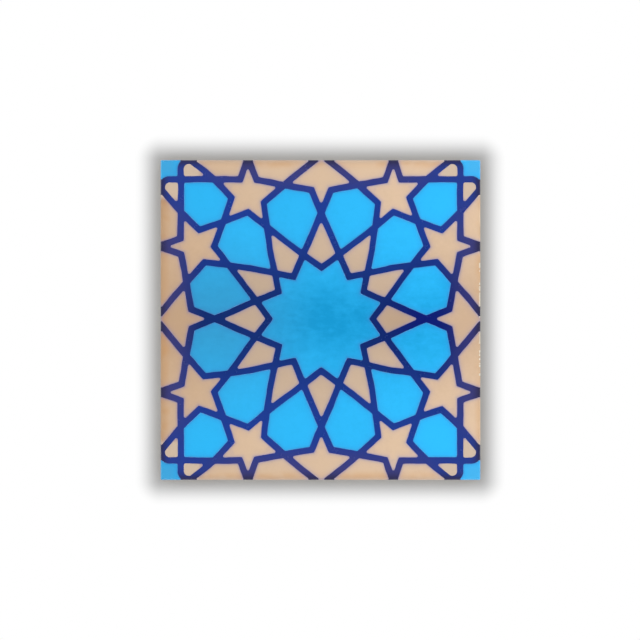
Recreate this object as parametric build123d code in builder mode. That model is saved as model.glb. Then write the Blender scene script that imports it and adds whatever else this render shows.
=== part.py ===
"""Haft rang tile: a square pressed and fired tile, one piece.

The glazed face is up, at +Z, and carries a twelve-fold star rosette. The colour
lines between the glaze fields are shallow channels, because the fields melt a
little proud of the lines that part them. The back, at Z = 0, is keyed with a grid
of pockets for the bedding mortar. Lengths are millimetres, angles are degrees, and
the origin is the centre of the bed face.
"""

import os
from math import radians, sqrt, tan

from build123d import *

# The pressed body
tile_side = 200.0  # across the glazed face
tile_thickness = 8.0  # bed face to glazed face
side_draft = 1.5  # the sides lean in towards the back by this angle
corner_radius = 1.0  # plan radius of the four corners
edge_rounding = 0.9  # the glaze rolls over the edge of the face at this radius

# The keyed back
key_pocket = 17.0  # side of one square pocket at the bed face
key_rib = 5.0  # land between two pockets
key_border = 10.0  # least plain land round the grid
key_depth = 1.0
key_draft = 20.0  # the pocket walls lean by this angle

# The line work of the glazed face
line_width = 3.85
line_depth = 0.3  # how far the lines lie below the glaze fields
star_notch_radius = 32.0  # inner corners of the central star
kite_tip_radius = 67.0  # outer tips of the kites round the star
petal_shoulder_radius = 81.3
petal_apex_radius = 87.0
frame_inset = 12.4  # straight frame lines, in from the edge of the face
loop_half_width = 14.3  # half the distance between the two diagonal lines of a corner
loop_nose_inset = 0.85  # rounded end of a corner loop, in from the edge of the face
loop_nose_radius = 5.0
star_tip_offset = 45.6  # tips of the five-pointed stars, from the middle of an edge
star_tip_reach = 1.2  # those tips lie this far past the edge of the face
star_tip_angle = 41.0

# The face repeats at each quarter turn, with three points of the rosette to a quarter
quarter_turns = 4
diagonal = 360 / quarter_turns / 2
rosette_step = 360 / (3 * quarter_turns)

# Worked out from the sizes above
half_side = tile_side / 2
bed_half_side = half_side - tile_thickness * tan(radians(side_draft))
key_pitch = key_pocket + key_rib
# The count is even, so two ribs cross at the origin
key_count = 2 * int((bed_half_side - key_border + key_rib / 2) // key_pitch)
frame_line = half_side - frame_inset


def on_rosette(radius, angle):
    """The point at a radius from the centre, turned from +Y towards -X by an angle."""
    return Vector(0, radius).rotate(Axis.Z, angle)


def meet(first_start, first_end, second_start, second_end):
    """The point where two lines cross, each given by two points on it."""
    first = first_end - first_start
    second = second_end - second_start
    share = (second_start - first_start).cross(second).Z / first.cross(second).Z
    return first_start + first * share


def strap_line(notch_angle):
    """A line of the central star: its ends at a notch and, past the next kite tip, at a petal's shoulder."""
    notch = on_rosette(star_notch_radius, notch_angle)
    tip = on_rosette(kite_tip_radius, notch_angle + rosette_step)
    along = (tip - notch).normalized()
    foot = notch - along * notch.dot(along)
    shoulder = foot + along * sqrt(petal_shoulder_radius**2 - foot.length**2)
    return notch, shoulder


def reflected(point, about):
    """A point mirrored in the line through the centre that lies at an angle from +Y."""
    turned = point.rotate(Axis.Z, -about)
    return Vector(-turned.X, turned.Y).rotate(Axis.Z, about)


# Corner points of the line work, in the half of the face left of +Y
edge_apex = on_rosette(petal_apex_radius, rosette_step / 2)
corner_apex = on_rosette(petal_apex_radius, diagonal)
star_tip = Vector(-star_tip_offset, half_side + star_tip_reach)
star_side = Vector(0, -star_tip_reach - frame_inset).rotate(Axis.Z, star_tip_angle / 2)

middle_notch, middle_shoulder = strap_line(-rosette_step)
star_inner_corner = meet(middle_shoulder, edge_apex, star_tip, star_tip + star_side)

rim_notch, rim_shoulder = (reflected(p, rosette_step / 2) for p in strap_line(-rosette_step))
rim_end = meet(rim_shoulder, edge_apex, star_tip, star_tip + Vector(1, 0))

loop_notch, loop_shoulder = strap_line(0)
loop_side = Vector(0, -loop_half_width * sqrt(2))
loop_bend = meet(loop_shoulder, corner_apex, loop_side, loop_side + Vector(-1, 1))
nose_x = loop_nose_inset - half_side
nose_low = Vector(nose_x, loop_side.Y - nose_x)
nose_high = Vector(nose_x, frame_line)
star_outer_run = (star_tip.Y - frame_line) * tan(radians(star_tip_angle / 2))
star_outer_corner = Vector(star_tip.X - star_outer_run, frame_line)

# Each of the three kinds of line that make the whole face by mirroring and turning
with BuildLine() as middle_line:
    Polyline(middle_notch, middle_shoulder, star_inner_corner, star_tip)

with BuildLine() as rim_line:
    Polyline(rim_notch, rim_shoulder, rim_end)

with BuildLine() as loop_line:
    Polyline(loop_notch, loop_shoulder, loop_bend, nose_low, nose_high, star_outer_corner, star_tip)
    fillet(loop_line.vertices().group_by(Axis.X)[0], radius=loop_nose_radius)

with BuildSketch() as line_pair:
    for line in (middle_line, rim_line, loop_line):
        trace(line.line, line_width)
    mirror(about=Plane.YZ)

with BuildSketch(Plane.XY.offset(tile_thickness)) as line_work:
    with PolarLocations(0, quarter_turns):
        add(line_pair.sketch)

# The tile: pressed body, rolled edge, keyed back and sunk lines
with BuildPart() as tile:
    with BuildSketch(Plane.XY.offset(tile_thickness)) as face_outline:
        RectangleRounded(tile_side, tile_side, corner_radius)
    extrude(amount=-tile_thickness, taper=side_draft)
    fillet(tile.faces().sort_by(Axis.Z)[-1].edges(), edge_rounding)

    with BuildSketch(Plane.XY) as key_grid:
        with GridLocations(key_pitch, key_pitch, key_count, key_count):
            Rectangle(key_pocket, key_pocket)
    extrude(amount=key_depth, taper=key_draft, mode=Mode.SUBTRACT)

    extrude(line_work.sketch, amount=-line_depth, mode=Mode.SUBTRACT)

tile.part.label = "tile"
os.makedirs("parts", exist_ok=True)
export_step(tile.part, "parts/tile.step")
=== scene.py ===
"""Haft rang tile, glazed and fired, lying face up on a pale floor.

The glaze fields stand a little proud of the cobalt lines that part them, roll over the
edge of the face and end in a lip on the bare clay of the sides. The back is keyed with
pockets. Lengths are metres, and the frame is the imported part's own.
"""

import random
from collections import deque
from functools import reduce
from math import atan2, ceil, copysign, cos, e as EULER, exp, pi, radians, sin, sqrt, tan

import bmesh
import bpy
from bpy.props import FloatProperty, FloatVectorProperty, IntProperty, PointerProperty
from mathutils import Matrix, Vector, noise
from mathutils.geometry import delaunay_2d_cdt


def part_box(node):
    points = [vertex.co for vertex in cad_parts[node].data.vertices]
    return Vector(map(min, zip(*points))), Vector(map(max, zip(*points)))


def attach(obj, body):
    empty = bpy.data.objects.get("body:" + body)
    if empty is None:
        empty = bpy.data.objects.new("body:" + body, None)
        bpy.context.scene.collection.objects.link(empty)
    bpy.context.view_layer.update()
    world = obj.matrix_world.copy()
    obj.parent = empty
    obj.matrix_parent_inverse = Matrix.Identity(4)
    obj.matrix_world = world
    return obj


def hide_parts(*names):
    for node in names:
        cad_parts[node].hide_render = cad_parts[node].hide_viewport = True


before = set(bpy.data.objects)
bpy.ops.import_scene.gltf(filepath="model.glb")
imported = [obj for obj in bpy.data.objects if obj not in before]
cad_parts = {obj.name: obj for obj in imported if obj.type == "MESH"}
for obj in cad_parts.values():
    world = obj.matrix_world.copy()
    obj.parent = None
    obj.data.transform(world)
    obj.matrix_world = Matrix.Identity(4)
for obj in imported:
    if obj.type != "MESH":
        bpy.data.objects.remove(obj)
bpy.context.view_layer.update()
tile_low, tile_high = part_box("tile")

bl_info = {
    "name": "Haft Rang Tile",
    "version": (1, 0, 0),
    "blender": (4, 5, 0),
    "location": "View3D > Sidebar > Tile",
    "description": "Builds a glazed haft rang tile with its star rosette, and a stage for it",
    "category": "Add Mesh",
}

MM = 0.001
PIECE = "haft_rang_tile"
LINE, TURQUOISE, SAND, CLAY = range(4)
QUARTER_TURNS = 4
QUARTER = 360 / QUARTER_TURNS
ROSETTE_STEP = QUARTER / 3
DIAGONAL = QUARTER / 2

# How the line work is cut into fields and meshed
WELD = 0.01 * MM
INSIDE = 1  # asks for the triangles inside the given outline
CELLS = 3  # asks for the cells that the given edges enclose
OVERRUN = 6 * MM  # the lines run on past the face by this, and are trimmed
FENCE_GAP = 1 * MM  # a fence closes the outer fields, this far inside the ends of the lines
PARALLEL = 1e-4  # two sides whose directions cross by less than this run on straight
STRAIGHT = radians(85)  # a corner whose half angle is larger isn't rounded
LONGEST_BLUNT = 0.45  # a rounding takes up this share of the shorter side at most
TRIANGLE_HEIGHT = 0.866  # of an even triangle with a side of 1
CORNER_FAN = 5  # steps of the rolled edge round a corner
POCKET_EDGE = radians(20)  # edges of the back that bend by more are softened
SHARP_EDGE = radians(50)  # edges of the whole tile that bend by more are shaded sharp

# How the hand and the stencil move the lines, and how the fields were poured
POUR_SEED = 12
NOISE_APART = Vector((31.4, 15.9, 26.5))  # two draws of the noise so far apart have nothing in common
HAND_MARGIN = 8 * MM  # from this far inside the edge, the lines come back to their course
HAND_EASE = 5 * MM  # and they are back on it after this
STRETCH_REACH = 20 * MM  # the stencil spread most at this distance from the centre
PINCH_PLACE, PINCH_REACH = 64 * MM, 20 * MM  # where the petals were drawn in
FLARE_PLACE, FLARE_REACH = 90 * MM, 10 * MM  # where the edges were drawn out

# The sizes of what is uneven on the edge and the sides
LARGE_CHIP, SMALL_CHIP, CHIP_GRAIN = 3.1 * MM, 1.1 * MM, 0.7 * MM
LIP_WAVE = 9 * MM
SIDE_GRAIN = 2.3 * MM


def length(name, millimetres, description):
    """A length property, given in millimetres and kept in metres."""
    default = millimetres * MM
    return FloatProperty(name=name, description=description, default=default, unit="LENGTH", precision=5)


def angle(name, degrees, description):
    """An angle property, given in degrees and kept in radians."""
    return FloatProperty(name=name, description=description, default=radians(degrees), subtype="ANGLE")


def whole(name, number, description):
    """A property for a number of rows, steps or pieces."""
    return IntProperty(name=name, description=description, default=number, min=1)


def colour(name, red, green, blue, description):
    """A colour property, given as display values from 0 to 255 and kept as scene values."""
    display = (value / 255 for value in (red, green, blue))
    scene = [v / 12.92 if v <= 0.04045 else ((v + 0.055) / 1.055) ** 2.4 for v in display]
    return FloatVectorProperty(
        name=name, description=description, default=scene, subtype="COLOR", size=3, min=0, max=1
    )


class LineSizes(bpy.types.PropertyGroup):
    """Where the lines of the star rosette run on the glazed face."""

    face_side: length("Face side", 200.0, "Side of the square that the line work is laid out on")
    line_width: length("Line width", 3.85, "Width of a cobalt line")
    star_notch_radius: length("Star notch radius", 32.0, "Inner corners of the central star")
    notch_slide: length("Notch slide", 1.9, "How far the notches beside a diagonal are drawn in along a line")
    notch_bend: length("Notch bend", 28.0, "How far from such a notch its other line is back on its course")
    kite_tip_radius: length("Kite tip radius", 67.0, "Outer tips of the kites round the star")
    petal_shoulder_radius: length("Petal shoulder radius", 81.3, "Shoulders of the petals")
    petal_apex_radius: length("Petal apex radius", 87.0, "Outer ends of the petals")
    frame_inset: length("Frame inset", 12.4, "Straight frame lines, in from the edge of the face")
    loop_half_width: length("Loop half width", 14.3, "Half the distance between a corner's diagonals")
    loop_nose_inset: length("Loop nose inset", 0.85, "Rounded end of a loop, in from the edge")
    loop_nose_radius: length("Loop nose radius", 4.85, "Rounding of a loop's end, by the frame line")
    loop_heel_radius: length("Loop heel radius", 3.4, "Rounding of a loop's end, by the diagonal")
    loop_heel_rise: length("Loop heel rise", 2.2, "How far a diagonal is drawn in past the frame line")
    star_tip_offset: length("Star tip offset", 45.6, "Star tips at an edge, from its middle")
    star_tip_reach: length("Star tip reach", 1.0, "How far those tips lie past the edge")
    star_tip_angle: angle("Star tip angle", 41.6, "Angle between the two lines of such a tip")
    nose_steps: whole("Nose steps", 7, "Points on a rounded corner")


class GlazeSizes(bpy.types.PropertyGroup):
    """How the glaze lies on the face and over its edge."""

    line_sink: length("Line sink", 0.3, "How far the lines lie below the glaze fields")
    line_crown: length("Line crown", 0.05, "How far the middle of a line stands above its sides")
    pool_width: length("Pool width", 1.15, "Width of the rounded rim of a glaze field")
    pool_steps: whole("Pool steps", 5, "Rings in the rounded rim")
    field_step: length("Field step", 2.6, "Distance between points inside a glaze field")
    stroke_step: length("Stroke step", 1.6, "Distance between points along a line")
    hand_drift: length("Hand drift", 0.28, "How far a hand drawn line strays from its course")
    hand_swell: length("Hand swell", 0.2, "How far the side of a line swells and thins")
    tip_swell: length("Tip swell", 0.27, "How far the sides of the lines swell at the star tips by the edge")
    tip_spread: length("Tip spread", 10.0, "How far from such a tip the swelling reaches")
    drift_wave: length("Drift wave", 19.0, "Length of the drift along a line")
    swell_wave: length("Swell wave", 5.5, "Length of the swelling along a line")
    corner_blunt: length("Corner blunt", 0.85, "Radius at which the lines' ink fills the corners of a field")
    edge_rounding: length("Edge rounding", 0.9, "Radius at which the glaze rolls over the edge")
    roll_steps: whole("Roll steps", 6, "Rows in the rolled edge")
    column_step: length("Column step", 0.6, "Distance between columns along the edge")
    lip_drop: length("Lip drop", 2.0, "Mean depth of the glaze lip below the face")
    lip_wander: length("Lip wander", 0.9, "How far the lip runs above and below its mean depth")
    lip_thickness: length("Lip thickness", 0.12, "Thickness of the glaze at the lip")
    chip_depth: length("Chip depth", 0.4, "How deep the chips in the right edge reach")
    chip_from: length("Chips from", -35.0, "Lower end of the chipped stretch of the right edge")
    chip_to: length("Chips to", 36.0, "Upper end of the chipped stretch of the right edge")


class StencilSizes(bpy.types.PropertyGroup):
    """How the stencil of the lines lay on this tile: off centre, and not quite flat."""

    right: length("Right", 0.55, "How far its middle lay to the right")
    right_spread: length("Right spread", 38.0, "Half width of the part that lay to the right")
    up: length("Up", 0.7, "How far its middle lay up")
    up_spread: length("Up spread", 60.0, "Half height of the part that lay up")
    stretch_across: length("Stretch across", 0.6, "How far it spread sideways round the centre")
    stretch_upright: length("Stretch upright", 0.4, "How far it spread up and down round the centre")
    pinch_across: length("Pinch across", 0.8, "How far the petals at the left and right were drawn in")
    pinch_upright: length("Pinch upright", 0.2, "How far the petals at the top and bottom were drawn in")
    flare_across: length("Flare across", 0.0, "How far its left and right edges were drawn out")
    flare_upright: length("Flare upright", 0.4, "How far its top and bottom edges were drawn out")


class BodySizes(bpy.types.PropertyGroup):
    """The pressed clay body under the glaze."""

    side_draft: angle("Side draft", 1.5, "The sides lean in towards the back by this angle")
    side_rows: whole("Side rows", 4, "Rows of faces down a side")
    side_rough: length("Side rough", 0.07, "Unevenness of the bare clay of the sides")
    arris: length("Arris", 0.45, "Rounding of the edge of the back")
    arris_steps: whole("Arris steps", 3, "Rows in the rounded back edge")
    key_pocket: length("Key pocket", 17.0, "Side of one pocket at the back")
    key_rib: length("Key rib", 5.0, "Land between two pockets")
    key_count: whole("Key count", 8, "Pockets along one side")
    key_depth: length("Key depth", 1.0, "Depth of a pocket")
    key_draft: angle("Key draft", 20.0, "The pocket walls lean by this angle")
    key_softening: length("Key softening", 0.35, "Rounding of the pockets' edges")


class GlazeColours(bpy.types.PropertyGroup):
    """Colours of the glazes and of the clay."""

    # Deep turquoise comes from the glaze's own mottle, and across the middle from painted shade; the top and
    # bottom stay lighter
    turquoise: colour("Turquoise", 46, 188, 252, "Glaze of the petals, near the top and bottom edges")
    turquoise_deep: colour("Deep turquoise", 18, 154, 213, "The same glaze in the middle, where it is thick")
    turquoise_dull: colour("Dull turquoise", 68, 175, 233, "The same glaze where it runs thin at the corners")
    turquoise_grey: colour("Grey turquoise", 68, 163, 211, "The same glaze in the petals left of the middle")
    # Deep sand comes from the glaze's own mottle, and across the middle from painted shade; the top and
    # bottom stay lighter
    sand: colour("Sand", 220, 191, 161, "Glaze of the stars, near the top and bottom edges")
    sand_deep: colour("Deep sand", 201, 171, 142, "The same glaze across the middle")
    sand_grey: colour("Grey sand", 189, 170, 151, "The same glaze in the kites round the central star")
    sand_pale: colour("Pale sand", 209, 189, 167, "The same glaze, thin in the noses of the corner loops")
    sand_burnt: colour("Burnt sand", 208, 160, 112, "The same glaze where it is thin and burnt at the edge")
    # Painted shade where the sand glaze rolls over the left edge
    sand_left_edge_shade: colour("Scorched sand", 184, 151, 120, "The same glaze where it rolls over the left edge")
    # Painted shade where the sand glaze rolls over the top and bottom edges
    sand_rolled_edge_shade: colour("Worn sand", 196, 176, 160, "The same glaze, rolled over the top and bottom edges")
    # Deep cobalt comes from the brush's own load, and across the middle from painted shade; the top and
    # bottom stay lighter
    cobalt: colour("Cobalt", 27, 59, 147, "Glaze of the lines")
    cobalt_deep: colour("Deep cobalt", 9, 41, 108, "The same glaze across the middle, and where it is thick")
    cobalt_ink: colour("Ink cobalt", 0, 14, 113, "The same glaze where it is thickest, right of the middle")
    cobalt_violet: colour("Violet cobalt", 63, 61, 118, "The same glaze near the middles of the edges")
    # Partly the glaze's own burn, partly painted shade where the lines reach the rolled edge
    cobalt_burnt_and_shaded: colour("Burnt cobalt", 44, 40, 64, "The same glaze where it is burnt at the edge")
    cobalt_bleed: colour("Bled cobalt", 64, 90, 182, "The same glaze where it has run into the fields")
    clay: colour("Clay", 238, 226, 208, "Fired body")
    clay_dark: colour("Dark clay", 204, 184, 156, "Fired body, darker patches")
    # Painted shadow: this grey shows only round the tile, where it darkens the tile's shadow
    floor: colour("Floor", 172, 172, 172, "Floor under the tile and round its edge")


class StageSizes(bpy.types.PropertyGroup):
    """The camera and the light."""

    view_width: length("View width", 400.0, "Width of the picture at the glazed face")
    half_pixel: length("Half pixel", 0.3125, "The tile lies this far right of the picture's middle")
    lens: FloatProperty(name="Lens", description="Focal length in millimetres", default=110.0)
    lamp_count: whole("Lamps", 8, "Soft boxes in the ring")
    lamp_distance: length("Lamp distance", 1400.0, "From the tile to a soft box")
    lamp_elevation: angle("Lamp elevation", 33.0, "Height of the ring above the floor")
    lamp_width: length("Lamp width", 700.0, "Width of a soft box")
    lamp_height: length("Lamp height", 480.0, "Height of a soft box")
    lamp_power: FloatProperty(name="Lamp power", description="Power of a soft box in watts", default=4.25)
    floor_side: length("Floor side", 24000.0, "Side of the floor")
    painted_shadow_reach: length("Halo", 17.5, "Width of the shaded floor round the tile")
    ceiling: FloatProperty(name="Ceiling", description="Brightness of the room overhead", default=0.1)


def turned(point, degrees):
    """A plan point turned about the centre, from +Y towards -X."""
    return Matrix.Rotation(radians(degrees), 2) @ point


def around(items):
    """Each item of a closed ring, with the one after it."""
    return zip(items, items[1:] + items[:1])


def on_rosette(radius, degrees):
    """The plan point at a radius from the centre, turned from +Y towards -X."""
    return turned(Vector((0, radius)), degrees)


def meet(first_start, first_end, second_start, second_end):
    """The point where two lines cross, each given by two points on it."""
    first = first_end - first_start
    second = second_end - second_start
    return first_start + first * ((second_start - first_start).cross(second) / first.cross(second))


def strap_line(sizes, notch_angle):
    """A line of the central star: its ends at a notch and, past the next kite tip, at a petal's shoulder."""
    notch = on_rosette(sizes.star_notch_radius, notch_angle)
    along = (on_rosette(sizes.kite_tip_radius, notch_angle + ROSETTE_STEP) - notch).normalized()
    foot = notch - along * notch.dot(along)
    return notch, foot + along * sqrt(sizes.petal_shoulder_radius**2 - foot.length_squared)


def reflected(point, about):
    """A plan point mirrored in the line through the centre that lies at an angle from +Y."""
    back = turned(point, -about)
    return turned(Vector((-back.x, back.y)), about)


def rounded_corner(before, corner, after, radius, steps):
    """Points of the arc that rounds a corner."""
    arm_in = (before - corner).normalized()
    arm_out = (after - corner).normalized()
    half_angle = arm_in.angle(arm_out) / 2
    centre = corner + (arm_in + arm_out).normalized() * (radius / sin(half_angle))
    start = corner + arm_in * (radius / tan(half_angle)) - centre
    end = corner + arm_out * (radius / tan(half_angle)) - centre
    turn = atan2(start.cross(end), start.dot(end))
    return [centre + Matrix.Rotation(turn * k / steps, 2) @ start for k in range(steps + 1)]


def run_on(before, end, level):
    """The point where a line from one point through another reaches a level in Y."""
    along = end - before
    return before + along * ((level - before.y) / along.y)


def eighth_of_lines(sizes, outside):
    """The lines of the half quarter left of +Y, and the middle of a loop's nose.

    The lines are run on to a square outside the face.
    """
    half = sizes.face_side / 2
    frame_line = half - sizes.frame_inset
    edge_apex = on_rosette(sizes.petal_apex_radius, ROSETTE_STEP / 2)
    corner_apex = on_rosette(sizes.petal_apex_radius, DIAGONAL)
    star_tip = Vector((-sizes.star_tip_offset, half + sizes.star_tip_reach))
    tip_lean = tan(sizes.star_tip_angle / 2)

    notch, shoulder = strap_line(sizes, -ROSETTE_STEP)
    drawn_in = notch + (notch - shoulder).normalized() * sizes.notch_slide
    inner_corner = meet(shoulder, edge_apex, star_tip, star_tip + Vector((tip_lean, -1)))
    middle_line = [drawn_in, shoulder, inner_corner, run_on(inner_corner, star_tip, outside)]

    notch, shoulder = (reflected(p, ROSETTE_STEP / 2) for p in strap_line(sizes, -ROSETTE_STEP))
    bend = notch + (shoulder - notch).normalized() * sizes.notch_bend
    rim_line = [turned(drawn_in, QUARTER), bend, shoulder, run_on(shoulder, edge_apex, outside)]

    notch, shoulder = strap_line(sizes, 0)
    side = Vector((0, -sizes.loop_half_width * sqrt(2)))
    bend = meet(shoulder, corner_apex, side, side + Vector((-1, 1)))
    crossing = Vector((-frame_line, side.y + frame_line))
    nose_x = sizes.loop_nose_inset - half
    nose_low = Vector((nose_x, side.y - nose_x + sizes.loop_heel_rise))
    nose_high = Vector((nose_x, frame_line))
    outer_corner = Vector((star_tip.x - (star_tip.y - frame_line) * tip_lean, frame_line))
    low_arc = rounded_corner(crossing, nose_low, nose_high, sizes.loop_heel_radius, sizes.nose_steps)
    high_arc = rounded_corner(nose_low, nose_high, outer_corner, sizes.loop_nose_radius, sizes.nose_steps)
    loop_line = [notch, shoulder, bend, crossing, *low_arc, *high_arc, outer_corner]
    loop_line.append(run_on(outer_corner, star_tip, outside))

    return (middle_line, rim_line, loop_line), (low_arc[-1] + high_arc[0]) / 2


def both_ways(operation):
    """An operator for values: with the value first, and with it second."""
    return (
        lambda value, other: value.maths(operation, value, other),
        lambda value, other: value.maths(operation, other, value),
    )


class Value:
    """An output of a node, which takes part in sums."""

    __add__, __radd__ = both_ways("ADD")
    __sub__, __rsub__ = both_ways("SUBTRACT")
    __mul__, __rmul__ = both_ways("MULTIPLY")
    __truediv__, __rtruediv__ = both_ways("DIVIDE")
    __pow__, __rpow__ = both_ways("POWER")

    def __init__(self, builder, socket):
        self.builder = builder
        self.socket = socket

    def maths(self, operation, first, second=0.0):
        """The value of a Math node."""
        return self.builder.node("ShaderNodeMath", {"operation": operation}, {0: first, 1: second})["Value"]

    def __neg__(self):
        return -1.0 * self

    def __abs__(self):
        return self.maths("ABSOLUTE", self)

    def least(self, other):
        """The smaller of two values."""
        return self.maths("MINIMUM", self, other)

    def most(self, other):
        """The larger of two values."""
        return self.maths("MAXIMUM", self, other)

    def ramp(self, low, high):
        """0 at the low value, 1 at the high one, and smooth between."""
        settings = {"interpolation_type": "SMOOTHSTEP"}
        sockets = {"Value": self, "From Min": low, "From Max": high}
        return self.builder.node("ShaderNodeMapRange", settings, sockets)["Result"]


class Outputs:
    """The outputs of a node by name or number, as values."""

    def __init__(self, builder, made):
        self.builder = builder
        self.made = made

    def __getitem__(self, key):
        return Value(self.builder, self.made.outputs[key])


class Builder:
    """A node tree under construction."""

    def __init__(self, tree):
        self.tree = tree

    def node(self, kind, settings=None, sockets=None):
        """A node of a type, with its settings, which come first, and the values or links of its sockets."""
        made = self.tree.nodes.new(kind)
        for key, value in (settings or {}).items():
            setattr(made, key, value)
        for key, value in (sockets or {}).items():
            socket = made.inputs[key]
            for given in value if isinstance(value, list) else [value]:
                if isinstance(given, Value):
                    self.tree.links.new(given.socket, socket)
                elif hasattr(socket.default_value, "__len__") and len(given) < len(socket.default_value):
                    socket.default_value = (*given, 1.0)
                else:
                    socket.default_value = given
        return Outputs(self, made)


class GeometryBuilder(Builder):
    """A Geometry Nodes tree with named inputs."""

    def __init__(self, name):
        super().__init__(bpy.data.node_groups.new(name, "GeometryNodeTree"))
        self.tree.interface.new_socket("Geometry", in_out="OUTPUT", socket_type="NodeSocketGeometry")
        self.given = self.tree.nodes.new("NodeGroupInput")
        self.identifiers = {}

    def input(self, name, kind):
        """A named input of the tree."""
        item = self.tree.interface.new_socket(name, in_out="INPUT", socket_type="NodeSocket" + kind)
        self.identifiers[name] = item.identifier
        return Value(self, self.given.outputs[name])

    def finish(self, geometry):
        """Ends the tree in Realize Instances and Set Material."""
        material = self.input("Material", "Material")
        real = self.node("GeometryNodeRealizeInstances", None, {"Geometry": geometry})["Geometry"]
        dressed = self.node("GeometryNodeSetMaterial", None, {"Geometry": real, "Material": material})
        self.node("NodeGroupOutput", None, {"Geometry": dressed["Geometry"]})

    def run(self, mesh, values):
        """The plain mesh that the tree makes of a mesh and the values of its inputs."""
        holder = bpy.data.objects.new(self.tree.name, mesh)
        bpy.context.scene.collection.objects.link(holder)
        modifier = holder.modifiers.new(self.tree.name, "NODES")
        modifier.node_group = self.tree
        for name, value in values.items():
            modifier[self.identifiers[name]] = value
        evaluated = holder.evaluated_get(bpy.context.evaluated_depsgraph_get())
        made = bpy.data.meshes.new_from_object(evaluated)
        bpy.data.objects.remove(holder)
        return made


def line_network(lines, material):
    """The whole line work as edges: an eighth of it, mirrored and turned to the four quarters."""
    eighth = bpy.data.meshes.new("line_eighth")
    points = []
    edges = []
    for line in lines:
        first = len(points)
        points += [p.to_3d() for p in line]
        edges += [(k, k + 1) for k in range(first, len(points) - 1)]
    eighth.from_pydata(points, edges, [])

    nodes = GeometryBuilder("Girih lines")
    drawn = nodes.input("Eighth", "Geometry")
    turns = nodes.input("Quarter turns", "Int")
    weld = nodes.input("Weld", "Float")
    mirrored = nodes.node("GeometryNodeTransform", None, {"Geometry": drawn, "Scale": (-1, 1, 1)})
    quarter = nodes.node("GeometryNodeJoinGeometry", None, {"Geometry": [drawn, mirrored["Geometry"]]})
    centres = nodes.node("GeometryNodePoints", None, {"Count": turns})
    turn = nodes.node("GeometryNodeInputIndex")["Index"] * (2 * pi / turns)
    rotation = nodes.node("FunctionNodeAxisAngleToRotation", None, {"Axis": (0, 0, 1), "Angle": turn})
    copies = nodes.node(
        "GeometryNodeInstanceOnPoints",
        None,
        {"Points": centres[0], "Instance": quarter["Geometry"], "Rotation": rotation["Rotation"]},
    )
    real = nodes.node("GeometryNodeRealizeInstances", None, {"Geometry": copies["Instances"]})["Geometry"]
    welded = nodes.node("GeometryNodeMergeByDistance", None, {"Geometry": real, "Distance": weld})
    nodes.finish(welded["Geometry"])
    return nodes.run(eighth, {"Quarter turns": QUARTER_TURNS, "Weld": WELD, "Material": material})


def keyed_back(body, material):
    """The pocketed middle of the back, facing down: a grid whose cells are sunk one by one."""
    nodes = GeometryBuilder("Keyed back")
    nodes.input("Geometry", "Geometry")
    count = nodes.input("Pockets", "Int")
    pitch = nodes.input("Pitch", "Float")
    pocket = nodes.input("Pocket", "Float")
    depth = nodes.input("Depth", "Float")
    floor = nodes.input("Floor", "Float")

    side = count * pitch
    points = count + 1
    sockets = {"Size X": side, "Size Y": side, "Vertices X": points, "Vertices Y": points}
    grid = nodes.node("GeometryNodeMeshGrid", None, sockets)
    rims = nodes.node("GeometryNodeExtrudeMesh", None, {"Mesh": grid["Mesh"], "Offset Scale": 0.0})
    sockets = {"Geometry": rims["Mesh"], "Selection": rims["Top"], "Scale": pocket / pitch}
    mouths = nodes.node("GeometryNodeScaleElements", None, sockets)
    sockets = {"Mesh": mouths["Geometry"], "Selection": rims["Top"], "Offset Scale": depth}
    sunk = nodes.node("GeometryNodeExtrudeMesh", None, sockets)
    sockets = {"Geometry": sunk["Mesh"], "Selection": sunk["Top"], "Scale": floor / pocket}
    floors = nodes.node("GeometryNodeScaleElements", None, sockets)
    nodes.finish(nodes.node("GeometryNodeFlipFaces", None, {"Mesh": floors["Geometry"]})["Mesh"])
    values = {
        "Pockets": body.key_count,
        "Pitch": body.key_pocket + body.key_rib,
        "Pocket": body.key_pocket,
        "Depth": body.key_depth,
        "Floor": body.key_pocket - 2 * body.key_depth * tan(body.key_draft),
        "Material": material,
    }
    return nodes.run(bpy.data.meshes.new("back_seed"), values)


class Cell:
    """One field of the line work: its outline on the middles of the lines, and its glaze."""

    def __init__(self, outline, lined):
        self.outline = outline
        self.lined = lined
        self.middle = sum(outline, Vector((0, 0))) / len(outline)
        self.glaze = SAND

    def inset(self, distance):
        """The outline moved inwards by a distance, along the stretches that a line follows."""
        points = self.outline
        inwards = [Vector((a.y - b.y, b.x - a.x)).normalized() for a, b in around(points)]
        shifts = [distance if lined else 0.0 for lined in self.lined]
        moved = []
        for k, point in enumerate(points):
            first, second = inwards[k - 1], inwards[k]
            area = first.cross(second)
            if abs(area) < PARALLEL:
                moved.append(point + second * shifts[k])
                continue
            along_x = (shifts[k - 1] * second.y - shifts[k] * first.y) / area
            along_y = (shifts[k] * first.x - shifts[k - 1] * second.x) / area
            moved.append(point + Vector((along_x, along_y)))
        for k, lined in enumerate(self.lined):
            after = (k + 1) % len(points)
            if lined and (points[after] - points[k]).dot(moved[after] - moved[k]) <= 0:
                raise RuntimeError(f"a glaze field near {self.middle[:]} is too small for its rim")
        return moved

    def clearance(self, point):
        """How far a point lies from the middle of the nearest line round the field."""
        gaps = []
        for (start, end), lined in zip(around(self.outline), self.lined):
            if lined:
                along = end - start
                share = min(1.0, max(0.0, (point - start).dot(along) / along.length_squared))
                gaps.append((point - start - along * share).length)
        return min(gaps)


def steps_from(centre, outlines):
    """How many sides are crossed on the shortest way from one cell to each of the others."""
    beside = {}
    for number, outline in enumerate(outlines):
        for side in around(outline):
            beside.setdefault(frozenset(side), []).append(number)
    steps = {centre: 0}
    queue = deque([centre])
    while queue:
        here = queue.popleft()
        for pair in (p for p in beside.values() if here in p):
            for there in pair:
                if there not in steps:
                    steps[there] = steps[here] + 1
                    queue.append(there)
    return steps


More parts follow.
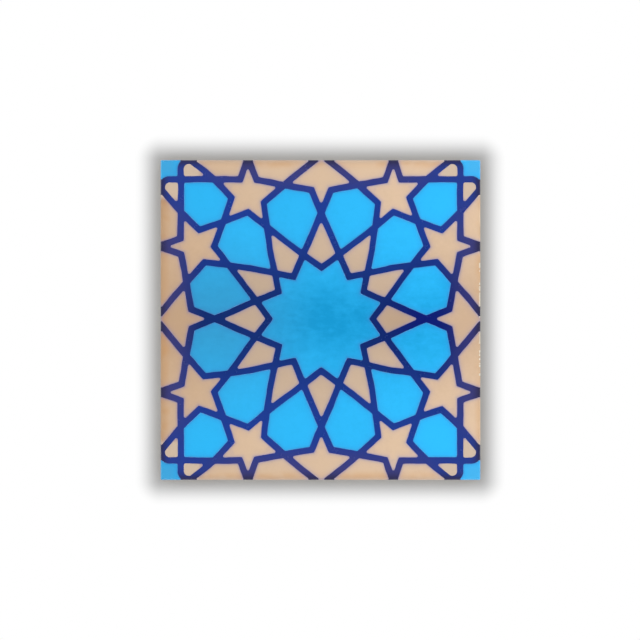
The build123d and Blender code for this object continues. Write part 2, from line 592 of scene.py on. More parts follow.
def fields_between(network, nose, sizes, outside):
    """The cells that the lines leave, each with the glaze that fills it."""
    points = [v.co.xy for v in network.vertices]
    edges = [tuple(e.vertices) for e in network.edges]
    line_edges = len(edges)
    fence = outside - FENCE_GAP
    corners = [Vector((fence, fence)), Vector((-fence, fence))]
    corners += [-corner for corner in corners]
    edges += [(len(points) + k, len(points) + (k + 1) % len(corners)) for k in range(len(corners))]
    points += corners
    # From the nose of each loop to the fence, so that the fields on its two sides are parted
    for k in range(QUARTER_TURNS):
        for side in (nose, Vector((-nose.x, nose.y))):
            ends = side, Vector((copysign(outside, side.x), side.y))
            edges.append((len(points), len(points) + 1))
            points += [turned(end, k * QUARTER) for end in ends]
    points, edges, outlines, _, sources, _ = delaunay_2d_cdt(points, edges, [], CELLS, WELD)
    lines = {frozenset(e) for e, made_of in zip(edges, sources) if any(k < line_edges for k in made_of)}

    cells = []
    for number, outline in enumerate(outlines):
        places = [points[k] for k in outline]
        if sum(a.cross(b) for a, b in around(places)) < 0:
            outlines[number] = outline = outline[::-1]
        lined = [frozenset(side) in lines for side in around(outline)]
        cells.append(Cell([points[k] for k in outline], lined))

    centre = min(range(len(cells)), key=lambda k: cells[k].middle.length)
    steps = steps_from(centre, outlines)
    half = sizes.face_side / 2
    frame_line = half - sizes.frame_inset
    for number, cell in enumerate(cells):
        in_corner = min(abs(cell.middle.x), abs(cell.middle.y)) > frame_line
        on_rim = any(max(abs(p.x), abs(p.y)) > half for p in cell.outline)
        if in_corner or (steps.get(number, 1) % 2 == 0 and not on_rim):
            cell.glaze = TURQUOISE
    return [cell for cell in cells if min(max(abs(p.x), abs(p.y)) for p in cell.outline) < half]


def inside(point, outline):
    """Whether a plan point lies inside an outline."""
    crossings = 0
    for a, b in around(outline):
        if (a.y > point.y) != (b.y > point.y):
            crossings += point.x < a.x + (b.x - a.x) * (point.y - a.y) / (b.y - a.y)
    return crossings % 2 == 1


def smooth_step(low, high, value):
    """0 below the low value, 1 above the high one, and smooth between."""
    share = min(1.0, max(0.0, (value - low) / (high - low)))
    return share * share * (3 - 2 * share)


def on_rounded(outline, side, share, radius):
    """The plan point at a share along one side of an outline whose corners are rounded."""
    start, end = outline[side], outline[(side + 1) % len(outline)]
    corner, other, beyond = start, end, outline[side - 1]
    if share > 0.5:
        corner, other, beyond = end, start, outline[(side + 2) % len(outline)]
    point = start.lerp(end, share)
    arm = (other - corner).normalized()
    next_arm = (beyond - corner).normalized()
    half = arm.angle(next_arm) / 2
    longest = LONGEST_BLUNT * min((other - corner).length, (beyond - corner).length)
    reach = min(radius / tan(half), longest)
    run = (point - corner).length
    if run >= reach or half > STRAIGHT:
        return point
    centre = corner + (arm + next_arm).normalized() * (reach / cos(half))
    touch = corner + arm * reach - centre
    turn = (pi / 2 - half) * (1 - run / reach)
    return centre + Matrix.Rotation(copysign(turn, touch.cross(corner - centre)), 2) @ touch


def bump(value):
    """1 at zero, fading to 0 within about 2 on either side."""
    return exp(-value * value)


def slip(at, shift, spread, stretch, pinch, flare):
    """How far a stencil slipped along one axis: shifted in its middle, stretched, drawn in and drawn out."""
    near = at / STRETCH_REACH
    petals = (abs(at) - PINCH_PLACE) / PINCH_REACH
    edge = (abs(at) - FLARE_PLACE) / FLARE_REACH
    outwards = flare * bump(edge) - pinch * bump(petals)
    return shift * bump(at / spread) + stretch * near * exp(0.5 - near**2 / 2) + copysign(1, at) * outwards


def hand_noise(point, wave, seed):
    """A smooth wander in plan, the same in each run and wherever a point is met again."""
    place = Vector((point.x / wave, point.y / wave, seed))
    return Vector((noise.noise(place), noise.noise(place + NOISE_APART)))


class Face:
    """The glazed face as a mesh: sunk lines, and fields with rounded rims."""

    def __init__(self, sizes, glaze, stencil, top):
        self.glaze = glaze
        self.stencil = stencil
        self.top = top
        self.half_line = sizes.line_width / 2
        self.free = sizes.face_side / 2 - HAND_MARGIN
        self.tip = Vector((sizes.star_tip_offset, sizes.face_side / 2))
        self.mesh = bmesh.new()
        self.gap = self.mesh.verts.layers.float.new("from_line")
        self.pour = self.mesh.faces.layers.float.new("pour")
        # Each ring of points round a field: how far from the middle of the line, and how far below the face
        flank = 0.6 * self.half_line
        self.rings = [
            (0.0, glaze.line_sink - glaze.line_crown),
            (flank, glaze.line_sink - glaze.line_crown / 2),
            (self.half_line, glaze.line_sink),
        ]
        self.line_rings = len(self.rings) - 1
        for k in range(1, glaze.pool_steps + 1):
            turn = pi / 2 * k / glaze.pool_steps
            out = self.half_line + glaze.pool_width * (1 - cos(turn))
            self.rings.append((out, glaze.line_sink * (1 - sin(turn))))

    def slipped(self, place):
        """Where the stencil put a plan point."""
        s = self.stencil
        across = slip(place.x, s.right, s.right_spread, s.stretch_across, s.pinch_across, s.flare_across)
        upright = slip(place.y, s.up, s.up_spread, s.stretch_upright, s.pinch_upright, s.flare_upright)
        return place + Vector((across, upright))

    def stroke(self, course, point, shift):
        """A point beside the middle of a line, as a hand draws it."""
        held = smooth_step(self.free, self.free + HAND_EASE, max(abs(course.x), abs(course.y)))
        drift = hand_noise(course, self.glaze.drift_wave, seed=0.5) * (self.glaze.hand_drift * (1 - held))
        if shift > 0:
            from_tip = Vector(sorted((abs(course.x), abs(course.y)))) - self.tip
            swell = hand_noise(point, self.glaze.swell_wave, seed=7.5).x * self.glaze.hand_swell * (1 - held)
            swell += self.glaze.tip_swell * bump(from_tip.length / self.glaze.tip_spread)
            drift = drift + (point - course).normalized() * swell
        return self.slipped(point + drift)

    def add_cell(self, cell, pour):
        """Adds a field with its share of the lines round it."""
        outlines = [cell.inset(distance) for distance, sink in self.rings]
        corners = len(cell.outline)
        rings = [[] for outline in outlines]
        for k in range(corners):
            run = (outlines[0][(k + 1) % corners] - outlines[0][k]).length
            steps = max(1, round(run / self.glaze.stroke_step))
            for step in range(steps):
                places = []
                for number, outline in enumerate(outlines):
                    blunt = self.glaze.corner_blunt if number >= self.line_rings else 0
                    places.append(on_rounded(outline, k, step / steps, blunt))
                for ring, place, (distance, sink) in zip(rings, places, self.rings):
                    drawn = self.stroke(places[0], place, distance)
                    vert = self.mesh.verts.new((*drawn, self.top - sink))
                    vert[self.gap] = max(0.0, distance - self.half_line)
                    ring.append(vert)
        for number, (outer, inner) in enumerate(zip(rings, rings[1:])):
            for k in range(len(outer)):
                n = (k + 1) % len(outer)
                self.add_face((outer[k], outer[n], inner[n], inner[k]), number >= self.line_rings, cell, pour)
        self.fill(rings[-1], cell, pour)

    def fill(self, ring, cell, pour):
        """Fills a field inside its rounded rim with an even net of triangles."""
        step = self.glaze.field_step
        inner = self.rings[-1][0] + step / 2
        low = [min(vert.co[axis] for vert in ring) for axis in range(2)]
        high = [max(vert.co[axis] for vert in ring) for axis in range(2)]
        places = [vert.co.xy for vert in ring]
        verts = list(ring)
        rise = step * TRIANGLE_HEIGHT
        for row in range(ceil((high[1] - low[1]) / rise)):
            for column in range(ceil((high[0] - low[0]) / step)):
                place = Vector((low[0] + step * (column + row % 2 / 2), low[1] + rise * row))
                gap = cell.clearance(place)
                if gap > inner and inside(place, cell.outline):
                    place = self.slipped(place)
                    vert = self.mesh.verts.new((*place, self.top))
                    vert[self.gap] = gap - self.half_line
                    places.append(place)
                    verts.append(vert)
        outline = list(range(len(ring)))
        _, _, faces, sources, _, _ = delaunay_2d_cdt(places, [], [outline], INSIDE, WELD / 10)
        for face in faces:
            self.add_face([verts[sources[k][0]] for k in face], True, cell, pour)

    def add_face(self, corners, in_field, cell, pour):
        """Adds one mesh face of a line or of a field."""
        made = self.mesh.faces.new(corners)
        made.material_index = cell.glaze if in_field else LINE
        made[self.pour] = pour

    def trim(self, reach):
        """Cuts the face off square at the start of its rolled edge."""
        bmesh.ops.remove_doubles(self.mesh, verts=self.mesh.verts[:], dist=WELD)
        for k in range(QUARTER_TURNS):
            out = turned(Vector((0, 1)), k * QUARTER).to_3d()
            skin = self.mesh.verts[:] + self.mesh.edges[:] + self.mesh.faces[:]
            bmesh.ops.bisect_plane(
                self.mesh, geom=skin, dist=WELD, plane_co=out * reach, plane_no=out, clear_outer=True
            )
        bmesh.ops.remove_doubles(self.mesh, verts=self.mesh.verts[:], dist=WELD)
        for vert in (v for v in self.mesh.verts if v.is_boundary):
            for axis in range(2):
                if abs(vert.co[axis]) > reach - 2 * WELD:
                    vert.co[axis] = copysign(reach, vert.co[axis])
        long_edges = {}
        for edge in self.mesh.edges:
            if edge.is_boundary:
                cuts = ceil(edge.calc_length() / self.glaze.column_step) - 1
                long_edges.setdefault(cuts, []).append(edge)
        for cuts in sorted(long_edges.keys() - {0}):
            bmesh.ops.subdivide_edges(self.mesh, edges=long_edges[cuts], cuts=cuts)

    def rim(self):
        """The boundary in order, counter-clockwise from above: each vertex and the glaze after it."""
        after = {}
        for edge in self.mesh.edges:
            if edge.is_boundary:
                loop = edge.link_loops[0]
                after[loop.vert] = (loop.link_loop_next.vert, loop.face)
        start = max(after, key=lambda v: v.co.x + v.co.y)
        ordered = []
        here = start
        while True:
            following, face = after[here]
            ordered.append((here, face.material_index, face[self.pour]))
            here = following
            if here is start:
                return ordered


class Column:
    """One line of points from the rim of the face down to the back."""

    def __init__(self, vert, out, glaze, pour):
        self.base = vert
        self.out = out
        self.glaze = glaze
        self.pour = pour
        self.place = vert.co.xy
        self.points = [vert]
        self.kinds = []


def rim_columns(face, reach):
    """The columns round the face, with a fan of them at each corner."""
    columns = []
    for vert, glaze, pour in face.rim():
        on_x = abs(abs(vert.co.x) - reach) < WELD * 2
        on_y = abs(abs(vert.co.y) - reach) < WELD * 2
        side_x = Vector((1 if vert.co.x > 0 else -1, 0))
        side_y = Vector((0, 1 if vert.co.y > 0 else -1))
        if on_x and on_y:
            first, last = (side_x, side_y) if vert.co.x * vert.co.y > 0 else (side_y, side_x)
            directions = [first.slerp(last, k / CORNER_FAN) for k in range(CORNER_FAN + 1)]
        else:
            directions = [side_x if on_x else side_y]
        columns += [Column(vert, out, glaze, pour) for out in directions]
    return columns


def flaking(y, size, seed):
    """Smooth noise along an upright edge, from -1 to 1."""
    return noise.noise(Vector((y / size, seed, 0)))


def chip_at(column, glaze):
    """How much of the edge is chipped away at a column, from 0 to 1.

    The chips lie in the sand of the right edge, most of them on both sides of its middle.
    """
    y = column.place.y
    half = (glaze.chip_to - glaze.chip_from) / 2
    away = abs(y - glaze.chip_from - half) / half
    if column.out.x < 0.99 or column.glaze != SAND or away >= 1:
        return 0.0
    dense = 1 - smooth_step(0.25, 1.0, away) - bump(away / 0.22)
    flakes = flaking(y, LARGE_CHIP, seed=2.5) + 0.45 * flaking(y, SMALL_CHIP, seed=9.5)
    return smooth_step(0.1, 0.32, flakes + 0.6 * dense)


def drop_column(mesh, gap, column, glaze, body, top):
    """Adds a column's points: the rolled edge, the glaze lip, the bare side and the back edge."""
    roll = glaze.edge_rounding
    spring = top - roll
    base = column.base.co
    chip = chip_at(column, glaze)
    lean = tan(body.side_draft)

    def add(out, height, kind):
        place = column.place + column.out * out
        vert = mesh.verts.new((*place, height))
        vert[gap] = column.base[gap]
        column.points.append(vert)
        column.kinds.append(kind)

    for k in range(1, glaze.roll_steps + 1):
        turn = pi / 2 * k / glaze.roll_steps
        bite = chip * glaze.chip_depth * sin(2 * turn) ** 0.5 if k < glaze.roll_steps else 0
        bite *= 0.75 + 0.5 * noise.noise(Vector((column.place.y / CHIP_GRAIN, turn, 3.5)))
        kind = CLAY if chip > 0.5 else column.glaze
        add((roll - bite) * sin(turn), spring + (base.z - spring - bite) * cos(turn), kind)

    along = Vector((*column.place, 0)) / LIP_WAVE
    run = noise.noise(along) + 0.5 * noise.noise(along * 3.1)
    least_drop = 1.25 * roll
    lip = top - max(least_drop, glaze.lip_drop + run * glaze.lip_wander)
    add(roll - (spring - lip) * lean, lip, column.glaze)
    bare = roll - glaze.lip_thickness
    arris = body.arris
    first = lip - glaze.lip_thickness
    for k in range(body.side_rows + 1):
        height = first + (arris - first) * k / body.side_rows
        rough = noise.noise(Vector((*column.place, height)) / SIDE_GRAIN) * body.side_rough if k else 0
        add(bare - (spring - height) * lean + min(0, rough), height, CLAY)
    foot = bare - (spring - arris) * lean
    for k in range(1, body.arris_steps + 1):
        turn = pi / 2 * k / body.arris_steps
        add(foot - arris * (1 - cos(turn)), arris * (1 - sin(turn)), CLAY)


def skirt(mesh, pour, columns):
    """Joins neighbouring columns with faces, and gives the loop of their lowest points."""
    for left, right in around(columns):
        for row, kind in enumerate(left.kinds):
            corners = [left.points[row], left.points[row + 1], right.points[row + 1], right.points[row]]
            made = mesh.faces.new(list(dict.fromkeys(corners)))
            made.material_index = kind
            made[pour] = left.pour
    return [column.points[-1] for column in columns]


def add_back(mesh, back, foot, body):
    """Adds the keyed back, softens its pockets and fills the land between it and the sides."""
    known = set(mesh.faces)
    mesh.from_mesh(back)
    added = [f for f in mesh.faces if f not in known]
    for made in added:
        made.material_index = CLAY
    bends = (e for f in added for e in f.edges if not e.is_boundary and e.calc_face_angle(0) > POCKET_EDGE)
    creases = list(dict.fromkeys(bends))
    border = [e for f in added for e in f.edges if e.is_boundary]
    bmesh.ops.bevel(
        mesh,
        geom=creases,
        offset=body.key_softening,
        segments=2,
        profile=0.5,
        affect="EDGES",
        clamp_overlap=True,
        material=CLAY,
    )
    ring = [mesh.edges.get(pair) for pair in around(foot)]
    filled = bmesh.ops.triangle_fill(mesh, edges=border + ring, use_beauty=True, normal=(0, 0, -1))
    for made in (g for g in filled["geom"] if isinstance(g, bmesh.types.BMFace)):
        made.material_index = CLAY


def lay_out_map(mesh, top):
    """A map for baking: the face takes most of it, the sides are strips above it, the back a small square."""
    layer = mesh.loops.layers.uv.new("OFBake")
    half = tile_high.x
    face_share, edge, back_share, strip = 0.78, 0.005, 0.19, 0.045
    side_band = 1.2 * MM
    for face in mesh.faces:
        upward = face.normal.z
        x, y, _ = face.calc_center_median()
        beside = max(abs(x), abs(y)) > half - side_band
        left_or_right = abs(x) > abs(y)
        number = (0 if x > 0 else 2) if left_or_right else (1 if y > 0 else 3)
        for loop in face.loops:
            place = loop.vert.co
            across, up = ((run + half) / (2 * half) for run in place.xy)
            if upward > 0.25:
                spot = (edge + face_share * across, edge + face_share * up)
            elif beside and abs(upward) < 0.75:
                run = up if left_or_right else across
                foot = 2 * edge + face_share + number * (strip + edge)
                spot = (edge + face_share * run, foot + strip * place.z / top)
            else:
                spot = (2 * edge + face_share + back_share * across, edge + back_share * up)
            loop[layer].uv = spot


class Surface(Builder):
    """The shader tree of a material or of the world."""

    def __init__(self, owner):
        owner.use_nodes = True
        super().__init__(owner.node_tree)
        self.owner = owner
        self.tree.nodes.clear()

    def place(self):
        """The point on the surface, in the object's own coordinates, and its place across and up the face."""
        point = self.node("ShaderNodeTexCoord")["Object"]
        parts = self.node("ShaderNodeSeparateXYZ", None, {"Vector": point})
        return point, parts["X"], parts["Y"]

    def attribute(self, name):
        """A number kept on the mesh."""
        return self.node("ShaderNodeAttribute", {"attribute_name": name})["Fac"]

    def stretched(self, point, scale):
        """A place multiplied by a scale along each axis."""
        return self.node("ShaderNodeVectorMath", {"operation": "MULTIPLY"}, {0: point, 1: scale})["Vector"]

    def clouds(self, point, size, detail=3.0, roughness=0.5):
        """Smooth random patches of a size, from 0 to 1."""
        sockets = {"Vector": point, "Scale": 1 / size, "Detail": detail, "Roughness": roughness}
        return self.node("ShaderNodeTexNoise", None, sockets)["Fac"]

    def mix(self, share, first, second):
        """Two colours mixed by a share."""
        settings = {"data_type": "RGBA", "clamp_factor": True}
        return self.node("ShaderNodeMix", settings, {0: share, 6: first, 7: second})[2]

    def scaled(self, shade, factor):
        """A colour made lighter or darker by a factor."""
        sockets = {0: shade, "Scale": factor}
        return self.node("ShaderNodeVectorMath", {"operation": "SCALE"}, sockets)["Vector"]

    def bump(self, height, strength, distance):
        """A normal that follows a height."""
        sockets = {"Strength": strength, "Distance": distance, "Height": height}
        return self.node("ShaderNodeBump", None, sockets)["Normal"]

    def finish(self, shader, output="ShaderNodeOutputMaterial"):
        """Links the shader to the tree's output."""
        self.node(output, None, {"Surface": shader})

    def dress(self, sockets):
        """Ends a material in a Principled shader, and gives the material."""
        self.finish(self.node("ShaderNodeBsdfPrincipled", None, sockets)["BSDF"])
        return self.owner


def hill(across, up=0.0):
    """1 where both offsets are zero, fading to 0 within about 2 on all sides."""
    return EULER ** -(across**2 + up**2)


def fading(distance, reach):
    """1 at no distance, fading to 0 over a few times the reach."""
    return EULER ** (distance / -reach)


def middle_band(y, reach):
    """1 across the middle of the tile, fading towards its top and bottom edges."""
    return hill(y / reach)


def bleed(surface, near, far):
    """How much cobalt has run into a field: a strong share near the line and a faint one that reaches far."""
    gap = surface.attribute("from_line")
    return near * fading(gap, 0.6 * MM) + far * fading(gap, 2.2 * MM)


def painted_light_and_pour_level(surface, x, rise, spread):
    """How light a glaze is: lighter to the right as painted light, and a little different in each poured
    field.
    """
    return 1 + x / (200 * MM) * rise + spread * (surface.attribute("pour") - 0.5)


def fired_glaze(surface, point, shade, roughness, ripple):
    """The material of a glaze: glossy and faintly wavy."""
    height = surface.clouds(point, 9 * MM, 2.0) + 0.25 * surface.clouds(point, 1.6 * MM, 2.0)
    normal = surface.bump(height, ripple, 0.25 * MM)
    return surface.dress({"Base Color": shade, "Roughness": roughness, "Normal": normal, "IOR": 1.5})


def turquoise_glaze(shades):
    """Turquoise: darker across the middle under painted shade, dull at the corners, brushed and mottled, with
    cobalt bled in, and lighter to the right under painted light.
    """
    surface = Surface(bpy.data.materials.new("turquoise_glaze"))
    point, x, y = surface.place()
    # Painted shade: darker across the middle band and round the centre, lighter towards the top and bottom
    # edges; the mottle and strokes are the glaze's own
    middle = hill((x - 3 * MM) / (24 * MM), (y - MM) / (13 * MM))
    painted_shade_band = 0.72 * middle_band(y, 34 * MM) + 0.28 * middle
    mottle = surface.clouds(point, 13 * MM, 4.0, 0.6)
    fine = surface.clouds(point, 2.2 * MM, 3.0, 0.6)
    strokes = surface.clouds(surface.stretched(point, (0.5, 1, 1)), 4 * MM, 3.0, 0.6)
    depth = painted_shade_band + (0.7 * (mottle - 0.5) + 0.8 * (strokes - 0.5)) * (0.25 + painted_shade_band) + 0.3 * (fine - 0.5)
    shade = surface.mix(depth, shades.turquoise, shades.turquoise_deep)
    left = (-x).ramp(-5 * MM, 60 * MM) * middle_band(y, 45 * MM)
    shade = surface.mix(0.55 * left, shade, shades.turquoise_grey)
    corner = abs(x).least(abs(y)).ramp(86 * MM, 95 * MM)
    shade = surface.mix(corner, shade, shades.turquoise_dull)
    shade = surface.mix(bleed(surface, 0.45, 0.15), shade, shades.cobalt_bleed)
    # Painted light: the colour is scaled lighter to the right
    shade = surface.scaled(shade, painted_light_and_pour_level(surface, x, 0.19, 0.06))
    return fired_glaze(surface, point, shade, 0.1 + 0.1 * fine, 0.1)


def sand_glaze(shades):
    """Sand: greyer in the kites, burnt orange in patches at the rim, most along the left edge; darker across
    the middle and where it rolls over the edges under painted shade, and lighter to the right under painted
    light.
    """
    surface = Surface(bpy.data.materials.new("sand_glaze"))
    point, x, y = surface.place()
    from_left = x + tile_high.x
    from_right = tile_high.x - x
    from_ends = tile_high.x - abs(y)

    mottle = surface.clouds(point, 11 * MM, 4.0, 0.6)
    fine = surface.clouds(point, 1.8 * MM, 3.0, 0.6)
    # Painted shade: darker across the middle band, lighter towards the top and bottom edges; the mottle is
    # the glaze's own
    painted_shade_band = middle_band(y, 42 * MM)
    depth = painted_shade_band + 0.6 * (mottle - 0.5) + 0.4 * (fine - 0.5)
    shade = surface.mix(depth, shades.sand, shades.sand_deep)
    kites = 1 - ((x**2 + y**2) ** 0.5).ramp(52 * MM, 78 * MM)
    shade = surface.mix(kites * (0.3 + 0.25 * painted_shade_band), shade, shades.sand_grey)

    patches = surface.clouds(point, 17 * MM, 2.0).ramp(0.42, 0.62)
    thick = hill((x - 48 * MM) / (18 * MM), y / (16 * MM))
    burns = (
        (1 - from_left.ramp(1.5 * MM, 9 * MM)) * (0.55 + 0.45 * patches),
        (1 - from_left.ramp(10 * MM, 70 * MM)) * 0.2,
        (1 - from_ends.ramp(0.5 * MM, 7 * MM)) * (0.25 + 0.5 * patches),
        (1 - from_right.ramp(0.5 * MM, 5 * MM)) * (0.4 * patches),
        thick * 0.2,
    )
    shade = surface.mix(reduce(Value.most, burns), shade, shades.sand_burnt)
    # Painted shade: greyer where the glaze rolls over the top and bottom edges
    shade = surface.mix(0.65 * hill(from_ends / (1.9 * MM)), shade, shades.sand_rolled_edge_shade)
    # Painted shade: darker where the glaze rolls over the left edge
    shade = surface.mix(fading(from_left, 1.6 * MM), shade, shades.sand_left_edge_shade)
    shade = surface.mix(bleed(surface, 0.5, 0.1), shade, shades.cobalt_bleed)
    # Painted light: lighter to the right; darker where the glaze is thick
    shade = surface.scaled(shade, painted_light_and_pour_level(surface, x, 0.17, 0.05) - 0.12 * thick)
    noses = abs(x).least(abs(y)).ramp(74 * MM, 78 * MM)
    shade = surface.mix(0.75 * noses, shade, shades.sand_pale)
    return fired_glaze(surface, point, shade, 0.16 + 0.12 * fine, 0.12)


def cobalt_glaze(shades):
    """Cobalt: darker across the middle under painted shade, violet towards the edges, burnt and in painted
    shade at the edge, uneven as a brush leaves it.
    """
    surface = Surface(bpy.data.materials.new("cobalt_glaze"))
    point, x, y = surface.place()
    load = surface.clouds(point, 6 * MM, 3.0, 0.6)
    sweep = surface.clouds(point, 28 * MM, 2.0, 0.5)
    # Painted shade: darker across the middle band; the brush load and sweep are the glaze's own
    depth = middle_band(y, 42 * MM) + 0.5 * (load - 0.5) + 0.7 * (sweep - 0.5)
    shade = surface.mix(depth, shades.cobalt, shades.cobalt_deep)
    out = abs(x).most(abs(y))
    rim = out.ramp(72 * MM, 96 * MM) * (1 - 0.75 * abs(x).least(abs(y)).ramp(50 * MM, 80 * MM))
    shade = surface.mix(0.85 * rim, shade, shades.cobalt_violet)
    thick = hill((x - 66 * MM) / (24 * MM), y / (24 * MM))
    shade = surface.mix(0.8 * thick, shade, shades.cobalt_ink)
    # Burnt at the edge, and painted shade where the lines roll over it
    burn_and_painted_shade = hill((tile_high.x - out) / (3.7 * MM))
    shade = surface.mix(0.82 * burn_and_painted_shade, shade, shades.cobalt_burnt_and_shaded)
    shade = surface.scaled(shade, 0.9 + 0.2 * load)
    return fired_glaze(surface, point, shade, 0.18 + 0.14 * load, 0.2)


def fired_clay(shades):
    """Bare fired body: pale, grainy, with darker patches."""
    surface = Surface(bpy.data.materials.new("fired_clay"))
    point, _, _ = surface.place()
    patches = surface.clouds(point, 30 * MM, 4.0, 0.6).ramp(0.42, 0.72)
    grain = surface.clouds(point, 0.7 * MM, 4.0, 0.7)
    grit = surface.node("ShaderNodeTexVoronoi", None, {"Vector": point, "Scale": 1 / (1.9 * MM)})["Distance"]
    specks = 1 - grit.ramp(0.08, 0.2)
    shade = surface.mix(0.6 * patches + 0.35 * specks, shades.clay, shades.clay_dark)
    sockets = {
        "Base Color": surface.scaled(shade, 0.9 + 0.2 * grain),
        "Roughness": 0.78 + 0.16 * grain,
        "Normal": surface.bump(grain + 0.4 * grit, 0.35, 0.2 * MM),
    }
    return surface.dress(sockets)


class TILE_OT_haft_rang(bpy.types.Operator):
    """Build the glazed tile in place of its plain solid"""

    bl_idname = "tile.haft_rang"
    bl_label = "Haft Rang Tile"

    def execute(self, context):
        scene = context.scene
        sizes, glaze, body = scene.tile_lines, scene.tile_glaze, scene.tile_body
        shades = scene.tile_colours
        materials = [maker(shades) for maker in (cobalt_glaze, turquoise_glaze, sand_glaze, fired_clay)]
        top = tile_high.z
        reach = min(*tile_high.xy, *-tile_low.xy) - glaze.edge_rounding
        outside = sizes.face_side / 2 + OVERRUN

        lines, nose = eighth_of_lines(sizes, outside)
        network = line_network(lines, materials[LINE])
        face = Face(sizes, glaze, scene.tile_stencil, top)
        pours = random.Random(POUR_SEED)
        for cell in fields_between(network, nose, sizes, outside):
            face.add_cell(cell, pours.random())
        face.trim(reach)

        mesh = face.mesh
        columns = rim_columns(face, reach)
        for column in columns:
            drop_column(mesh, face.gap, column, glaze, body, top)
        foot = skirt(mesh, face.pour, columns)
        add_back(mesh, keyed_back(body, materials[CLAY]), foot, body)
        bmesh.ops.remove_doubles(mesh, verts=mesh.verts[:], dist=WELD)
        bmesh.ops.triangulate(mesh, faces=[f for f in mesh.faces if len(f.verts) > 4])
        bmesh.ops.recalc_face_normals(mesh, faces=mesh.faces[:])
        if any(not e.is_manifold for e in mesh.edges):
            raise RuntimeError("the tile's skin is not closed")
        lay_out_map(mesh, top)
        for made in mesh.faces:
            made.smooth = True
        for edge in mesh.edges:
            edge.smooth = edge.calc_face_angle(0) < SHARP_EDGE

        data = bpy.data.meshes.new(PIECE)
        mesh.to_mesh(data)
        mesh.free()
        for material in materials:
            data.materials.append(material)
        piece = bpy.data.objects.new(PIECE, data)
        scene.collection.objects.link(piece)
        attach(piece, "root")
        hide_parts("tile")
        return {"FINISHED"}


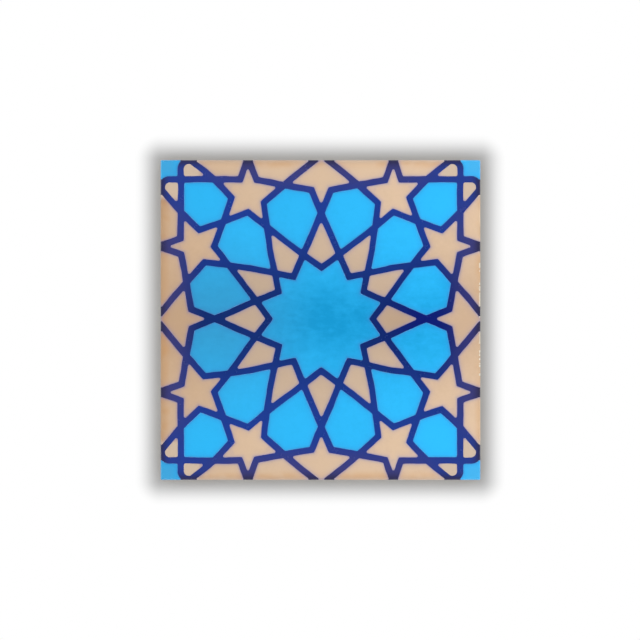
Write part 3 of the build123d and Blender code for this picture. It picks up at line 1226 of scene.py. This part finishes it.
class TILE_OT_stage(bpy.types.Operator):
    """Set out the floor, the soft light and the camera over the tile"""

    bl_idname = "tile.stage"
    bl_label = "Tile Stage"

    def execute(self, context):
        scene = context.scene
        stage = scene.tile_stage
        self.floor(scene, stage)
        self.lamps(scene, stage)
        self.room(scene, stage)
        self.camera(scene, stage)
        scene.view_settings.view_transform = "Standard"
        return {"FINISHED"}

    def floor(self, scene, stage):
        """A floor that is shaded round the tile, where its grey colour adds painted shadow, and white away
        from it.
        """
        surface = Surface(bpy.data.materials.new("pale_floor"))
        _, x, y = surface.place()
        # Painted shadow: the floor shows its grey colour round the tile, and white further out
        beside = (abs(x) - tile_high.x).most(0.0)
        beyond = (abs(y) - tile_high.y).most(0.0)
        far = ((beside**2 + beyond**2) ** 0.5).ramp(-1.5 * MM, stage.painted_shadow_reach)
        sockets = {"Color": scene.tile_colours.floor, "Roughness": 0.0}
        matt = surface.node("ShaderNodeBsdfDiffuse", None, sockets)["BSDF"]
        path = surface.node("ShaderNodeLightPath")
        seen = path["Is Camera Ray"].most(path["Is Glossy Ray"]).most(path["Is Transmission Ray"])
        glow = surface.node("ShaderNodeEmission", None, {"Color": (1, 1, 1), "Strength": 1.0})["Emission"]
        sockets = {0: far * seen, 1: matt, 2: glow}
        surface.finish(surface.node("ShaderNodeMixShader", None, sockets)["Shader"])
        data = bpy.data.meshes.new("floor")
        plane = bmesh.new()
        bmesh.ops.create_grid(plane, x_segments=1, y_segments=1, size=stage.floor_side / 2)
        bmesh.ops.translate(plane, verts=plane.verts[:], vec=(0, 0, -0.05 * MM))
        plane.to_mesh(data)
        plane.free()
        data.materials.append(surface.owner)
        floor = bpy.data.objects.new("floor", data)
        scene.collection.objects.link(floor)

    def lamps(self, scene, stage):
        """A ring of soft boxes, all aimed at the tile."""
        for k in range(stage.lamp_count):
            data = bpy.data.lights.new(f"soft_box_{k + 1}", "AREA")
            data.shape = "RECTANGLE"
            data.size = stage.lamp_width
            data.size_y = stage.lamp_height
            data.energy = stage.lamp_power
            lamp = bpy.data.objects.new(data.name, data)
            turn = 2 * pi * (k + 0.5) / stage.lamp_count
            level = cos(stage.lamp_elevation)
            out = Vector((cos(turn) * level, sin(turn) * level, sin(stage.lamp_elevation)))
            lamp.location = out * stage.lamp_distance
            lamp.rotation_euler = out.to_track_quat("Z", "Y").to_euler()
            scene.collection.objects.link(lamp)

    def room(self, scene, stage):
        """A room that is white near the floor and dim overhead."""
        world = bpy.data.worlds.new("room")
        scene.world = world
        surface = Surface(world)
        towards = surface.node("ShaderNodeTexCoord")["Generated"]
        height = surface.node("ShaderNodeSeparateXYZ", None, {"Vector": towards})["Z"]
        strength = 1 - height.ramp(0.1, 0.35) * (1 - stage.ceiling)
        light = surface.node("ShaderNodeBackground", None, {"Color": (1, 1, 1), "Strength": strength})
        surface.finish(light["Background"], "ShaderNodeOutputWorld")

    def camera(self, scene, stage):
        """A camera that looks straight down on the glazed face."""
        data = bpy.data.cameras.new("camera")
        data.lens = stage.lens
        camera = bpy.data.objects.new("camera", data)
        distance = stage.view_width * data.lens / data.sensor_width
        camera.location = (-stage.half_pixel, 0, tile_high.z + distance)
        data.clip_end = 50
        scene.collection.objects.link(camera)
        scene.camera = camera


class TILE_PT_panel(bpy.types.Panel):
    """The tile's tools and sizes in the sidebar"""

    bl_label = "Haft Rang Tile"
    bl_idname = "TILE_PT_panel"
    bl_space_type = "VIEW_3D"
    bl_region_type = "UI"
    bl_category = "Tile"

    def draw(self, context):
        layout = self.layout
        for operator in OPERATORS:
            layout.operator(operator.bl_idname)
        for name, group in GROUPS.items():
            box = layout.box()
            for key in group.__annotations__:
                box.prop(getattr(context.scene, name), key)


OPERATORS = (TILE_OT_haft_rang, TILE_OT_stage)
GROUPS = {
    "tile_lines": LineSizes,
    "tile_glaze": GlazeSizes,
    "tile_stencil": StencilSizes,
    "tile_body": BodySizes,
    "tile_colours": GlazeColours,
    "tile_stage": StageSizes,
}
CLASSES = (*GROUPS.values(), *OPERATORS, TILE_PT_panel)


def register():
    """Registers the classes, and hangs the sizes and colours on the scene."""
    for made in CLASSES:
        bpy.utils.register_class(made)
    for name, group in GROUPS.items():
        setattr(bpy.types.Scene, name, PointerProperty(type=group))


def unregister():
    """Takes back what register has done."""
    for name in GROUPS:
        delattr(bpy.types.Scene, name)
    for made in reversed(CLASSES):
        bpy.utils.unregister_class(made)


def main():
    register()
    bpy.ops.tile.haft_rang()
    bpy.ops.tile.stage()


if __name__ == "__main__":
    main()
